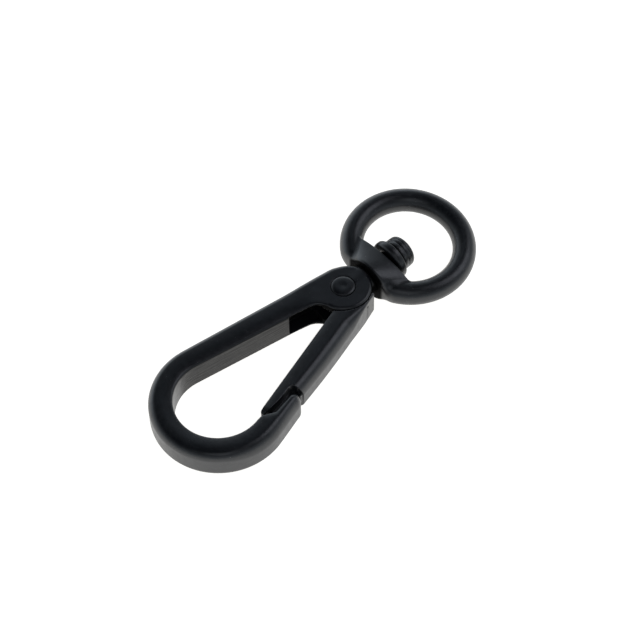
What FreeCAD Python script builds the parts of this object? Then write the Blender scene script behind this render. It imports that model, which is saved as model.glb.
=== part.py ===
import FreeCAD, Part
import math
import os
from FreeCAD import Vector

# Swivel snap hook, 19 mm round eye. Millimetres and degrees.
# Frame: origin at the centre of the eye, on the swivel axis. +X runs along the swivel axis away
# from the hook, +Z is square to the flat of the hook, and the gate is on the -Y side.
Z_AXIS = Vector(0, 0, 1)
X_AXIS = Vector(1, 0, 0)

# Swivel eye: a ring of round wire with a hub that turns on the stud
EYE_RADIUS = 12.0
EYE_WIRE_R = 2.5
EYE_TURN = 4.5  # the eye's turn about the swivel axis as the clip lies on a table
HUB_FRONT_R = 4.9
HUB_BACK_HALF_WIDTH = 9.2
HUB_BACK_HALF_HEIGHT = 3.55
HUB_BLEND_R = 0.6
HUB_FRONT_X = -12.6
HUB_BACK_X = -7.15
HUB_EDGE_R = 0.6
HUB_SECTION_POINTS = 24

# Stud and its retaining washer
STUD_R = 2.2
STUD_FIT = 0.07  # radial running clearance of the eye on the stud
STUD_ROOT_X = -14.6
WASHER_R = 4.5
WASHER_BACK_X = -6.45
WASHER_FRONT_X = -4.6
WASHER_EDGE_R = 0.6
STUD_HEAD_R = 3.6
STUD_WAIST_R = 3.3
STUD_WAIST_LENGTH = 0.5
STUD_HEAD_FRONT_X = -1.1
STUD_HEAD_EDGE_R = 1.0

OVERCUT = 1.0  # how far a cutting tool runs past the surface it cuts

# Hook body, half thickness and plan
HALF_T = 3.55
PIVOT = Vector(-19.1, 0, 0)
BOWL = Vector(-56.0, -2.55, 0)
BOWL_R = 9.25
SPINE_SLOPE = 9.6
SPINE_INNER_SLOPE = 11.2
GATE_SLOPE = 15.6
GATE_ORIGIN = Vector(-53.83, -11.27, 0)
OUTER_BOWL = Vector(-55.85, -2.5, 0)
OUTER_BOWL_R = 14.35
NOSE_SIDE_LENGTH = 7.5
NOSE_EDGE_R = 2.0
NOSE_EDGE_ARC = 75.0
NOSE_CORNER = (9.25, 3.55)
REBATE_OUTER = (8.4, 3.0)
REBATE_INNER = (3.3, 2.4)
BOWL_LIP = (1.15, 0.45)
LIP_ANGLE = 3.0
BOSS_R = 5.95
BOSS_EDGE_R = 0.35
CHEEK_FIRST_ANGLE = 170.0
CHEEK_LAST_ANGLE = 400.0
THROAT_R = 4.0
EDGE_R = 1.2  # rounding of the outer edges of the cast bars
NECK_R = 3.5
NECK_X = -12.7
CHEEK_IN_Z = 1.95
SLOT_R = 4.3
SLOT_FIRST_ANGLE = 168.0
SLOT_LAST_ANGLE = 296.0

# Spring pocket in the inner wall of the spine
POCKET_HALF_Z = 2.65
POCKET_DEPTH = 3.1
POCKET_START = 6.0
POCKET_END = 13.5

# Gate and its pivot rivet
GATE_HALF_T = 3.45
GATE_EDGE_R = 1.3
GATE_STEP_IN = -0.3
HEEL_ARC_R = 6.2
EAR_R = 4.0
EAR_OUT_Z = 1.85
EAR_IN_Z = 1.25
COIL_ROOM_R = 3.4
WEB_R = 6.6
WEB_FIRST_ANGLE = 205.0
WEB_LAST_ANGLE = 280.0
LEG_SIDE_ANGLES = (20.0, 200.0)  # where the coil's room is open towards the spine
# Gate outline, as (along, out) from the gate's line
BACK_PROFILE = [(10.6, 4.52), (16.0, 4.86), (27.0, 5.1), (33.0, 5.02), (38.6, 4.75)]
SHOULDER_IN = (10.25, 3.0)
NOTCH_MIDDLE = (9.95, 2.1)
TONGUE_ROOT = (9.2, 1.75)
TONGUE_MIDDLE = (5.0, 1.5)
TONGUE_OUT = (2.1, 0.8)
TIP_MIDDLE = (1.65, 0.35)
TIP_ALONG = 2.2
# Hidden rib under the nose that the closed gate rests on
STOP_HALF_Z = 1.2
STOP_GAP = 0.04
STOP_ROOT_OUT = 1.0
STOP_FIRST = (3.6, 2.435)
STOP_LAST = (8.2, 2.976)
STOP_LIP = [(9.8, 2.95), (9.8, 4.2), (10.9, 4.2), (10.9, 1.0)]  # fills the notch behind the nose's end
RIVET_R = 1.5
RIVET_FIT = 0.05
RIVET_HEAD_R = 2.45
RIVET_HEAD_RISE = 0.35
RIVET_DISH_R = 1.3
RIVET_DISH_DEPTH = 0.14
RIVET_RIM_RISE = 0.05
RIVET_DOME_IN = 0.35
RIVET_DOME_RISE = 0.24
SPOT_FACE_R = 2.75
SPOT_FACE_DEPTH = 0.15

# Gate spring
WIRE_R = 0.3
COIL_R = 2.3
COIL_PITCH = 0.65
COIL_TURNS = 2
BODY_LEG = 10.5
GATE_LEG = 8.0
LEG_GROOVE_R = 0.36
LEG_END_ROOM = 0.4


def direction(angle):
    """Unit vector in the plan at an angle from +X."""
    return Vector(math.cos(math.radians(angle)), math.sin(math.radians(angle)), 0)


SPINE_OUT = direction(90 - SPINE_SLOPE)
SPINE_DIR = direction(-SPINE_SLOPE)
GATE_OUT = direction(GATE_SLOPE - 90)
GATE_DIR = direction(GATE_SLOPE)
WALL_OUT = direction(90 - SPINE_INNER_SLOPE)
WALL_DIR = direction(-SPINE_INNER_SLOPE)
WALL_START = BOWL + WALL_OUT * BOWL_R
WALL_FOOT = WALL_START + WALL_DIR * (PIVOT - BOWL).dot(WALL_DIR)


# The coil's whole turns and the part turn between its legs, centred on the plan
COIL_PART_TURN = (180 - SPINE_INNER_SLOPE - GATE_SLOPE) / 360
COIL_HEIGHT = COIL_PITCH * (COIL_TURNS + COIL_PART_TURN)


def on_gate(along, out):
    """Plan point measured from where the gate's line leaves the bowl: along it, and outward."""
    return GATE_ORIGIN + GATE_DIR * along + GATE_OUT * out


def on_wall(before_pivot, inward):
    """Plan point measured from the foot of the pivot on the spine's inner wall."""
    return WALL_FOOT - WALL_DIR * before_pivot - WALL_OUT * inward


def line(a, b):
    return Part.LineSegment(a, b).toShape()


def arc(a, middle, b):
    return Part.Arc(a, middle, b).toShape()


def polyline(points):
    return [line(a, b) for a, b in zip(points, points[1:])]


def slab(edges, half_height):
    """Solid between two heights, +half_height and -half_height, over a closed plan outline."""
    wire = Part.Wire(Part.__sortEdges__(edges))
    face = Part.Face(wire)
    face.translate(Z_AXIS * -half_height)
    return face.extrude(Z_AXIS * 2 * half_height)


def disc(centre, radius, low_z, high_z):
    return Part.makeCylinder(radius, high_z - low_z, centre + Z_AXIS * low_z, Z_AXIS)


def barrel(radius, low_x, high_x):
    return Part.makeCylinder(radius, high_x - low_x, X_AXIS * low_x, X_AXIS)


def pie(centre, radius, first_angle, last_angle, half_height):
    """Sector of a disc, between two angles in the plan."""
    first = centre + direction(first_angle) * radius
    middle = centre + direction((first_angle + last_angle) / 2) * radius
    last = centre + direction(last_angle) * radius
    return slab([line(centre, first), arc(first, middle, last), line(last, centre)], half_height)


def round_edges(solid, radius, wanted):
    """Fillets the edges that the test picks."""
    picked = [edge for edge in solid.Edges if wanted(edge)]
    try:
        rounded = solid.makeFillet(radius, picked)
        if rounded.isValid():
            return rounded
    except Part.OCCError:
        pass
    print("a fillet of", radius, "was left out")
    return solid


def middle_of(edge):
    return edge.valueAt((edge.FirstParameter + edge.LastParameter) / 2)


def on_face(edge, half_height):
    """True if an edge lies on one of the two faces of a slab."""
    return abs(abs(middle_of(edge).z) - half_height) < 0.01


def hook_bar():
    """Boss, spine, bowl and nose in one bar. The inner edges stay sharp, the outer ones are rounded."""
    outer_top = OUTER_BOWL + SPINE_OUT * OUTER_BOWL_R
    outer_left = OUTER_BOWL + direction(180) * OUTER_BOWL_R
    outer_low = OUTER_BOWL + GATE_OUT * OUTER_BOWL_R
    spine_end = outer_top + SPINE_DIR * (PIVOT - outer_top).dot(SPINE_DIR)
    boss_far_r = (spine_end - PIVOT).dot(SPINE_OUT)
    boss_right = PIVOT + X_AXIS * boss_far_r
    boss_low = PIVOT - SPINE_OUT * boss_far_r
    nose_side = outer_low + GATE_DIR * (NOSE_SIDE_LENGTH - (outer_low - GATE_ORIGIN).dot(GATE_DIR))
    nose_centre = nose_side - GATE_OUT * NOSE_EDGE_R
    nose_angle = GATE_SLOPE - 90
    nose_shoulder = nose_centre + direction(nose_angle + NOSE_EDGE_ARC / 2) * NOSE_EDGE_R
    nose_tip = nose_centre + direction(nose_angle + NOSE_EDGE_ARC) * NOSE_EDGE_R
    nose_corner = on_gate(*NOSE_CORNER)
    nose_inside = on_gate(*REBATE_OUTER)
    rebate_end = on_gate(*REBATE_INNER)
    bowl_lip = on_gate(*BOWL_LIP)
    bowl_join = BOWL + direction(GATE_SLOPE - 90 - LIP_ANGLE) * BOWL_R
    bowl_left = BOWL + direction(180) * BOWL_R
    edges = [
        arc(boss_low, boss_right, spine_end),
        line(spine_end, outer_top),
        arc(outer_top, outer_left, outer_low),
        line(outer_low, nose_side),
        arc(nose_side, nose_shoulder, nose_tip),
        arc(nose_tip, nose_corner, nose_inside),
        line(nose_inside, rebate_end),
        line(rebate_end, bowl_lip),
        line(bowl_lip, bowl_join),
        arc(bowl_join, bowl_left, WALL_START),
        line(WALL_START, WALL_FOOT),
        line(WALL_FOOT, boss_low),
    ]
    bar = slab(edges, HALF_T)

    def outer_edge(edge):
        point = middle_of(edge)
        plan_point = Vector(point.x, point.y, 0)
        above_spine = (point - OUTER_BOWL).dot(SPINE_OUT) > OUTER_BOWL_R - 0.1
        below_nose = (point - GATE_ORIGIN).dot(GATE_OUT) > (nose_tip - GATE_ORIGIN).dot(GATE_OUT)
        round_bowl = abs((plan_point - OUTER_BOWL).Length - OUTER_BOWL_R) < 0.1
        round_boss = abs((plan_point - PIVOT).Length - boss_far_r) < 0.1
        return on_face(edge, HALF_T) and (above_spine or below_nose or round_bowl or round_boss)

    return round_edges(bar, EDGE_R, outer_edge)


def boss_cheeks():
    """Crisp round cheeks around the rivet, on the gate's side of the boss, and the neck."""
    first = PIVOT + direction(CHEEK_FIRST_ANGLE) * BOSS_R
    middle = PIVOT + direction((CHEEK_FIRST_ANGLE + CHEEK_LAST_ANGLE) / 2) * BOSS_R
    last = PIVOT + direction(CHEEK_LAST_ANGLE) * BOSS_R
    cheeks = slab([line(PIVOT, first), arc(first, middle, last), line(last, PIVOT)], HALF_T)

    def rim(edge):
        point = middle_of(edge)
        return on_face(edge, HALF_T) and (Vector(point.x, point.y, 0) - PIVOT).Length > BOSS_R - 0.1

    neck = barrel(NECK_R, PIVOT.x + STUD_R, NECK_X)
    return round_edges(cheeks, BOSS_EDGE_R, rim).fuse([neck, throat_blend()])


def throat_blend():
    """Concave blend from the spine's inner wall to the round of the cheeks."""
    reach = math.sqrt((BOSS_R + THROAT_R) ** 2 - (THROAT_R + (PIVOT - WALL_FOOT).dot(WALL_OUT)) ** 2)
    centre = on_wall(reach, THROAT_R)
    on_line = on_wall(reach, 0)
    towards_pivot = (PIVOT - centre).normalize()
    on_boss = centre + towards_pivot * THROAT_R
    halfway = (towards_pivot + WALL_OUT).normalize()
    inside = on_wall(BOSS_R / 2, 0)
    edges = [
        arc(on_line, centre + halfway * THROAT_R, on_boss),
        line(on_boss, inside),
        line(inside, on_line),
    ]
    return slab(edges, HALF_T)


def make_hook_body():
    body = hook_bar().fuse(boss_cheeks())
    slot = disc(PIVOT, SLOT_R, -CHEEK_IN_Z, CHEEK_IN_Z)
    mouth = pie(PIVOT, 2 * BOSS_R, SLOT_FIRST_ANGLE, SLOT_LAST_ANGLE, CHEEK_IN_Z)
    pocket_corners = [
        on_wall(POCKET_START, OVERCUT),
        on_wall(POCKET_START, -POCKET_DEPTH),
        on_wall(POCKET_END, -POCKET_DEPTH),
        on_wall(POCKET_END, OVERCUT),
    ]
    leg_corners = [
        on_wall(0, OVERCUT),
        on_wall(0, -POCKET_DEPTH),
        on_wall(POCKET_START + OVERCUT, -POCKET_DEPTH),
        on_wall(POCKET_START + OVERCUT, OVERCUT),
    ]
    pocket = slab(polyline(pocket_corners + pocket_corners[:1]), POCKET_HALF_Z)
    leg_room = slab(polyline(leg_corners + leg_corners[:1]), CHEEK_IN_Z)
    rivet_hole = disc(PIVOT, RIVET_R, -HALF_T - OVERCUT, HALF_T + OVERCUT)
    top_spot = disc(PIVOT, SPOT_FACE_R, HALF_T - SPOT_FACE_DEPTH, HALF_T + OVERCUT)
    low_spot = disc(PIVOT, SPOT_FACE_R, -HALF_T - OVERCUT, -HALF_T + SPOT_FACE_DEPTH)
    stud_hole = barrel(STUD_R, STUD_ROOT_X, NECK_X + OVERCUT)
    for tool in (slot, mouth, pocket, leg_room, rivet_hole, top_spot, low_spot, stud_hole):
        body = body.cut(tool)
    return body.removeSplitter()


def gate_bar():
    """Full-thickness bar of the gate, from the tongue's tip to the heel that wraps the boss."""
    back_points = [on_gate(along, out) for along, out in BACK_PROFILE]
    back = Part.BSplineCurve()
    back.interpolate(back_points)
    heel_cap = PIVOT + GATE_OUT * HEEL_ARC_R / 2
    shoulder_in = on_gate(*SHOULDER_IN)
    tongue_root = on_gate(*TONGUE_ROOT)
    tongue_out = on_gate(*TONGUE_OUT)
    tongue_in = on_gate(TIP_ALONG, GATE_STEP_IN)
    heel_in = on_gate((PIVOT - GATE_ORIGIN).dot(GATE_DIR), GATE_STEP_IN)
    edges = [
        line(tongue_in, heel_in),
        line(heel_in, heel_cap),
        line(heel_cap, back_points[-1]),
        back.toShape(),
        line(back_points[0], shoulder_in),
        arc(shoulder_in, on_gate(*NOTCH_MIDDLE), tongue_root),
        arc(tongue_root, on_gate(*TONGUE_MIDDLE), tongue_out),
        arc(tongue_out, on_gate(*TIP_MIDDLE), tongue_in),
    ]
    bar = slab(edges, GATE_HALF_T)

    def back_edge(edge):
        point = middle_of(edge)
        out = (point - GATE_ORIGIN).dot(GATE_OUT)
        return on_face(edge, GATE_HALF_T) and out > BACK_PROFILE[0][1]

    heel_room = disc(PIVOT, HEEL_ARC_R, -HALF_T, HALF_T)
    return round_edges(bar, GATE_EDGE_R, back_edge).cut(heel_room)


def stop_rib():
    """Low rib on the tongue, under the nose, that meets the nose when the gate is closed."""
    gap = GATE_OUT * STOP_GAP
    corners = [
        on_gate(STOP_FIRST[0], STOP_ROOT_OUT),
        on_gate(*STOP_FIRST) - gap,
        on_gate(*STOP_LAST) - gap,
    ]
    corners += [on_gate(along, out) for along, out in STOP_LIP]
    return slab(polyline(corners + corners[:1]), STOP_HALF_Z)


def make_gate():
    ears = disc(PIVOT, EAR_R, -EAR_OUT_Z, EAR_OUT_Z)
    web = pie(PIVOT, WEB_R, WEB_FIRST_ANGLE, WEB_LAST_ANGLE, EAR_OUT_Z)
    gate = gate_bar().fuse([ears, web, stop_rib()])
    coil_room = disc(PIVOT, COIL_ROOM_R, -EAR_IN_Z, EAR_IN_Z)
    leg_side = pie(PIVOT, EAR_R + OVERCUT, LEG_SIDE_ANGLES[0], LEG_SIDE_ANGLES[1], EAR_IN_Z)
    bore = disc(PIVOT, RIVET_R + RIVET_FIT, -HALF_T, HALF_T)
    leg_start = PIVOT + GATE_OUT * COIL_R - Z_AXIS * COIL_HEIGHT / 2
    groove = Part.makeCylinder(LEG_GROOVE_R, GATE_LEG + LEG_END_ROOM, leg_start, GATE_DIR * -1)
    for tool in (coil_room, leg_side, bore, groove):
        gate = gate.cut(tool)
    return gate.removeSplitter()


def rivet_head():
    """Low domed head with a dished centre, standing on +Z from the spot face."""
    seat = HALF_T - SPOT_FACE_DEPTH
    crest = HALF_T + RIVET_HEAD_RISE
    rim_side = Vector(RIVET_HEAD_R, 0, seat)
    rim_top = Vector(RIVET_HEAD_R, 0, HALF_T + RIVET_RIM_RISE)
    dome_top = Vector(RIVET_DISH_R, 0, crest)
    dome_middle = Vector(RIVET_HEAD_R - RIVET_DOME_IN, 0, HALF_T + RIVET_DOME_RISE)
    dish_floor = crest - RIVET_DISH_DEPTH
    dish_edge = Vector(RIVET_DISH_R / 2, 0, dish_floor)
    edges = [
        line(Vector(0, 0, seat), rim_side),
        line(rim_side, rim_top),
        arc(rim_top, dome_middle, dome_top),
        line(dome_top, dish_edge),
        line(dish_edge, Vector(0, 0, dish_floor)),
        line(Vector(0, 0, dish_floor), Vector(0, 0, seat)),
    ]
    face = Part.Face(Part.Wire(edges))
    head = face.revolve(Vector(0, 0, 0), Z_AXIS, 360)
    head.translate(PIVOT)
    return head


def make_gate_rivet():
    shank = disc(PIVOT, RIVET_R, -HALF_T, HALF_T)
    top = rivet_head()
    bottom = top.copy()
    bottom.rotate(PIVOT, X_AXIS, 180)
    return shank.fuse([top, bottom]).removeSplitter()


def make_gate_spring():
    """Two-turn torsion spring: one leg in the spine's pocket, the other in the gate's groove."""
    helix = Part.makeHelix(COIL_PITCH, COIL_HEIGHT, COIL_R)
    helix.rotate(Vector(0, 0, 0), Z_AXIS, GATE_SLOPE - 90)
    helix.translate(PIVOT - Z_AXIS * COIL_HEIGHT / 2)
    coil = helix.Edges[0]
    coil_start = coil.valueAt(coil.FirstParameter)
    coil_end = coil.valueAt(coil.LastParameter)
    gate_tip = coil_start - GATE_DIR * GATE_LEG
    body_tip = coil_end - WALL_DIR * BODY_LEG
    path = Part.Wire([line(gate_tip, coil_start), coil, line(coil_end, body_tip)])
    section = Part.Wire(Part.makeCircle(WIRE_R, gate_tip, GATE_DIR))
    return path.makePipeShell([section], True, True)


def crease_of_hub(edge):
    """True for the edges where the hub's flanks meet the ring."""
    point = middle_of(edge)
    return HUB_FRONT_X + 0.1 < point.x < HUB_BACK_X - 0.05 and abs(point.z) > 0.1


def hub_section(x, half_width, half_height):
    """Closed oval across the swivel axis."""
    points = []
    for k in range(HUB_SECTION_POINTS):
        around = direction(360 * k / HUB_SECTION_POINTS)
        points.append(Vector(x, half_width * around.x, half_height * around.y))
    oval = Part.BSplineCurve()
    oval.interpolate(points, PeriodicFlag=True)
    return Part.Wire(oval.toShape())


def make_swivel_eye():
    """Ring with a hub that flares from round at the stud to wide and flat where it meets the ring."""
    reach = EYE_RADIUS + EYE_WIRE_R
    front = hub_section(HUB_FRONT_X, HUB_FRONT_R, HUB_FRONT_R)
    back = hub_section(HUB_BACK_X, HUB_BACK_HALF_WIDTH, HUB_BACK_HALF_HEIGHT)
    hub = Part.makeLoft([front, back], True, True)
    ring = Part.makeTorus(EYE_RADIUS, EYE_WIRE_R)
    ring.rotate(Vector(0, 0, 0), Z_AXIS, 90)
    before_hub = Part.makeBox(reach, 2 * reach, 2 * reach, Vector(HUB_FRONT_X - reach, -reach, -reach))
    eye = ring.cut(before_hub).fuse(hub)
    eye = round_edges(eye, HUB_BLEND_R, crease_of_hub)
    eye = round_edges(eye, HUB_EDGE_R, lambda edge: middle_of(edge).x < HUB_FRONT_X + 0.01)
    eye = eye.cut(barrel(STUD_R + STUD_FIT, HUB_FRONT_X - 1, HUB_BACK_X + 1))
    eye.rotate(Vector(0, 0, 0), X_AXIS, EYE_TURN)
    return eye


def turned(outline):
    """Solid turned about the swivel axis from (x, radius) points."""
    points = [Vector(x, radius, 0) for x, radius in outline]
    face = Part.Face(Part.Wire(polyline(points + points[:1])))
    return face.revolve(Vector(0, 0, 0), X_AXIS, 360)


def make_swivel_stud():
    waist_end = WASHER_FRONT_X + STUD_WAIST_LENGTH
    stud = turned([
        (STUD_ROOT_X, 0),
        (STUD_ROOT_X, STUD_R),
        (WASHER_FRONT_X, STUD_R),
        (WASHER_FRONT_X, STUD_WAIST_R),
        (waist_end, STUD_WAIST_R),
        (waist_end, STUD_HEAD_R),
        (STUD_HEAD_FRONT_X, STUD_HEAD_R),
        (STUD_HEAD_FRONT_X, 0),
    ])
    return round_edges(stud, STUD_HEAD_EDGE_R, lambda edge: middle_of(edge).x > STUD_HEAD_FRONT_X - 0.01)


def make_stud_washer():
    washer = barrel(WASHER_R, WASHER_BACK_X, WASHER_FRONT_X)
    washer = round_edges(washer, WASHER_EDGE_R, lambda edge: edge.Length > 6 * WASHER_R)
    return washer.cut(barrel(STUD_R, WASHER_BACK_X - 1, WASHER_FRONT_X + 1))


PARTS = {
    "hook_body": make_hook_body,
    "gate": make_gate,
    "gate_rivet": make_gate_rivet,
    "gate_spring": make_gate_spring,
    "swivel_eye": make_swivel_eye,
    "swivel_stud": make_swivel_stud,
    "stud_washer": make_stud_washer,
}

os.makedirs("parts", exist_ok=True)
for name, make in PARTS.items():
    shape = make()
    print(name, shape.ShapeType, "solids", len(shape.Solids), "valid", shape.isValid(),
          "volume", round(shape.Volume, 1))
    shape.exportStep(os.path.join("parts", name + ".step"))
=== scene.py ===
import math
import bpy
import numpy as np
from mathutils import Matrix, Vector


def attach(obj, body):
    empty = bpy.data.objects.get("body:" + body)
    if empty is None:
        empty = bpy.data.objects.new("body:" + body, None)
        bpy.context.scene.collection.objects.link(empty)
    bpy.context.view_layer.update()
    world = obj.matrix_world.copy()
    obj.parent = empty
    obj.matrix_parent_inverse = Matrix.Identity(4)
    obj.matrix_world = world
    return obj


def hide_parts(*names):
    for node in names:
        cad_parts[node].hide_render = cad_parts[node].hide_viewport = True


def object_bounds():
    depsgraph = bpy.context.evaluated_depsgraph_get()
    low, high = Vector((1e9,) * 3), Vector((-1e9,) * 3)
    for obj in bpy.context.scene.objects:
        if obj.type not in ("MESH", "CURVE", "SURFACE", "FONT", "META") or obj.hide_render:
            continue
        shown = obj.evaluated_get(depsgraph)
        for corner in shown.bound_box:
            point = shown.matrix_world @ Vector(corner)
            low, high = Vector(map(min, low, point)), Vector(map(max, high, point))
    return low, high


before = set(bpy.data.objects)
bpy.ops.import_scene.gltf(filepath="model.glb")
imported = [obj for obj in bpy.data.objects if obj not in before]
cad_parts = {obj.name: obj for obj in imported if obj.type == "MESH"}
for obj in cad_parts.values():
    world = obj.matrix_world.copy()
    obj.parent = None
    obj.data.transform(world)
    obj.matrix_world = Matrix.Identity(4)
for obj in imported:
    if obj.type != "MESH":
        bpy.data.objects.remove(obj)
cad_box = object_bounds()

# Everything below is in millimetres and degrees until make_mesh(), which turns it into metres.
MM = 0.001
VOXEL = 0.2
PLAN_STEP = 0.1
LAST_CELL = 1.001  # how far before a plan's last grid line a place is read, in cells
NORMAL_STEP = 0.03
SHARP_R = 0.12  # rounding that a casting keeps on its sharp edges
FINE_R = 0.1  # rounding of the edges inside the joints
OVERCUT = 1.0  # how far a cut runs on past the face it opens
FAR = 30.0  # outside everything, for closing an outline
TINY = 1e-6
ARC_STEPS = 24
RUN_STEPS = 60
CORNER_STEPS = 6
LATHE_SEGMENTS = 112
DOME_STEPS = 25
SETTLE_ROUNDS = 3
SETTLE_SLOPE = 0.3  # least squared slope that a point's step is worked out with
SETTLE_REACH = 0.5 * VOXEL

# The eye's ring and the hub under it.
EYE_RADIUS = 12.0
EYE_WIRE_R = 2.5
EYE_TURN = 4.5
HUB_FRONT_SHIFT = -0.5
HUB_FRONT_HALF_WIDTH = 5.2
HUB_FRONT_HALF_HEIGHT = 4.84
HUB_BACK_HALF_WIDTH = 9.2
HUB_BACK_HALF_HEIGHT = 3.55
HUB_BLEND_R = 0.6
HUB_FRONT_X = -12.6
HUB_BACK_X = -7.15
HUB_EDGE_R = 0.7
HUB_BACK_EDGE_R = 0.3
HUB_SHARES = (-0.5, 1.2)  # how far past its two ends the hub's taper is carried
HUB_LEAST_SLOPE = 0.05
EYE_BOX = (-12.7, -14.6, -5.2), (14.6, 14.6, 5.2)

# The stud that the eye turns on, and its washer.
STUD_R = 2.2
STUD_FIT = 0.07
STUD_ROOT_X = -14.6
WASHER_R = 4.5
WASHER_BACK_X = -6.45
WASHER_FRONT_X = -4.6
WASHER_EDGE_R = 0.45
STUD_HEAD_R = 3.6
STUD_WAIST_R = 3.3
STUD_WAIST_LENGTH = 0.5
STUD_HEAD_FRONT_X = -1.1
STUD_HEAD_EDGE_R = 1.0
STUD_ROOT_EDGE_R = 0.1
STUD_WAIST_EDGE_R = 0.08
STUD_STEP_R = 0.22
STUD_FRONT_IN = 0.05
# Grooves round the stud's head: start, bottom and end; how far in both rims are; the bottom's rounding.
STUD_GROOVE_DEPTH = 0.09
STUD_GROOVES = [(-3.25, -3.12, -2.99, 0.0, 0.02, 0.03), (-2.35, -2.25, -2.15, 0.03, 0.05, 0.02)]

# The hook: bowl, nose, spine and the boss round the gate's pivot.
HALF_T = 3.55
CROWN = 0.4  # how far the faces fall away towards the two edges of a bar
CROWN_AT = 0.5  # where the faces are highest, as a share of the bar's width from its inner edge
CROWN_FADE = (6.0, 13.0)  # distances from the pivot between which the crown grows
LEAST_BAR = 0.5  # least width that a place across the bar is worked out with
PIVOT = np.array((-19.1, 0.0))
BOWL = np.array((-56.0, -2.55))
BOWL_R = 9.25
SPINE_SLOPE = 9.6
SPINE_INNER_SLOPE = 11.2
GATE_SLOPE = 15.6
GATE_ORIGIN = np.array((-53.83, -11.27))
OUTER_BOWL = np.array((-55.85, -2.5))
OUTER_BOWL_R = 14.35
NOSE_SIDE_LENGTH = 7.5
NOSE_EDGE_R = 2.0
NOSE_EDGE_ARC = 75.0
NOSE_CORNER = (9.25, 3.55)
REBATE_OUTER = (8.4, 3.0)
REBATE_INNER = (3.3, 2.4)
BOWL_LIP = (1.15, 0.45)
LIP_ANGLE = 3.0
BOSS_R = 5.95
BOSS_EDGE_R = 0.75
BOSS_SOFT_ANGLE = 105.0  # towards the spine's outer side, where the boss is rounded like the spine
BOSS_SOFT_SHARES = (0.1, 0.7)  # cosines of the angle to it between which the rounding changes
BOSS_FAR_STEP = 0.195
THROAT_R = 4.0
EDGE_R = 1.5
LOWER_EDGE_R = 1.2
NEAR_EDGE_R = 2.3
NEAR_SIDE = (0.6, 0.95)  # shares of the bowl's radius towards the gate between which the rounding grows
INNER_EDGE_R = 0.45
NECK_R = 3.5
NECK_X = -12.7
NECK_EDGE_R = 0.15
NECK_BLEND_R = 0.35
ABOVE_NOSE = (8.0, -4.5)  # along and out from the gate's line, inside the hook's opening
BEFORE_WALL = (4.0, 4.5)  # before the pivot and in from the spine's wall, inside the opening
HOOK_GRID = (-73, -20), (-10, 15)
HOOK_BOX = (-70.3, -17.5, -3.6), (-12.6, 12.0, 3.6)
CHEEK_IN_Z = 1.95
SLOT_R = 4.3
SLOT_ANGLES = (168.0, 296.0)
POCKET_HALF_Z = 2.95
POCKET_DEPTH = 3.1
POCKET_START = 6.0
POCKET_END = 13.5
POCKET_CORNER_R = 0.2

# The gate; its plan is given along its line and out from it.
GATE_HALF_T = 3.45
GATE_EDGE_R = 2.3
GATE_STEP_IN = -0.3
GATE_WIDTH = 5.3
HEEL_ARC_R = 6.2
HEEL_TIP_ARC_R = 6.05
HEEL_TIP_FADE = (3.0, 5.0)  # outwards from the pivot
HEEL_EDGE_R = 0.4  # the heel is too thin for the bar's rounding
HEEL_FADE = (29.0, 34.5)  # along the gate, where the rounding shrinks to the heel's
HEEL_LIP_R = 0.06
EAR_R = 4.0
EAR_OUT_Z = 1.85
EAR_IN_Z = 1.25
COIL_ROOM_R = 3.4
WEB_R = 6.6
WEB_ANGLES = (205.0, 280.0)
LEG_SIDE_ANGLES = (20.0, 200.0)
BACK_RUN_ON = (20, 10)  # steps by which the back's line is carried on past the shoulder and the heel
BACK_CLOSING = [(48.0, -20.0), (0.0, -20.0)]  # along and out from the gate's line, clear of the gate
PAST_SHOULDER = 4  # how far the cuts at the two ends go on past the back, in lengths of the cut
PAST_HEEL = 2
GATE_GRID = (-56, -16), (-10, 7)
GATE_BOX = (-52.6, -14.0, -3.5), (-14.8, 4.3, 3.5)
BACK_PROFILE = [(10.6, 4.52), (16.0, 4.86), (27.0, 5.1), (33.0, 5.02), (38.6, 4.75)]
SHOULDER_IN = (10.25, 3.0)
NOTCH_MIDDLE = (9.95, 2.1)
TONGUE_ROOT = (9.2, 1.75)
TONGUE_MIDDLE = (5.0, 1.5)
TONGUE_OUT = (2.1, 0.8)
TIP_MIDDLE = (1.65, 0.35)
TIP_ALONG = 2.2
STOP_HALF_Z = 1.2
STOP_GAP = 0.04
STOP_ROOT_OUT = 1.0
STOP_FIRST = (3.6, 2.435)
STOP_LAST = (8.2, 2.976)
STOP_LIP = [(9.8, 2.95), (9.8, 4.2), (10.9, 4.2), (10.9, 1.0)]  # fills the notch behind the nose's end
RIB_GRID = (-56, -16), (-38, -4)

# The gate's rivet and spring, and the room they need in the castings.
RIVET_R = 1.5
RIVET_FIT = 0.05
RIVET_HEAD_R = 2.45
RIVET_HEAD_RISE = 0.35
RIVET_DIMPLE_R = 0.8
RIVET_DIMPLE_DEPTH = 0.12
SPOT_FACE_R = 2.6
SPOT_FACE_DEPTH = 0.15
SPOT_EDGE_R = 0.08
COIL_R = 2.3
COIL_PITCH = 0.65
COIL_TURNS = 2
GATE_LEG = 8.0
LEG_ROOM_R = 0.48
GATE_SWING = 22.0
LEG_ROOM_STEPS = 16


# ---- plan geometry -----------------------------------------------------------------------------

def direction(angle):
    return np.array((math.cos(math.radians(angle)), math.sin(math.radians(angle))))


SPINE_OUT = direction(90 - SPINE_SLOPE)
SPINE_DIR = direction(-SPINE_SLOPE)
GATE_OUT = direction(GATE_SLOPE - 90)
GATE_DIR = direction(GATE_SLOPE)
WALL_OUT = direction(90 - SPINE_INNER_SLOPE)
WALL_DIR = direction(-SPINE_INNER_SLOPE)
WALL_START = BOWL + WALL_OUT * BOWL_R
WALL_FOOT = WALL_START + WALL_DIR * (PIVOT - BOWL).dot(WALL_DIR)


def on_gate(along, out):
    return GATE_ORIGIN + GATE_DIR * along + GATE_OUT * out


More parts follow.
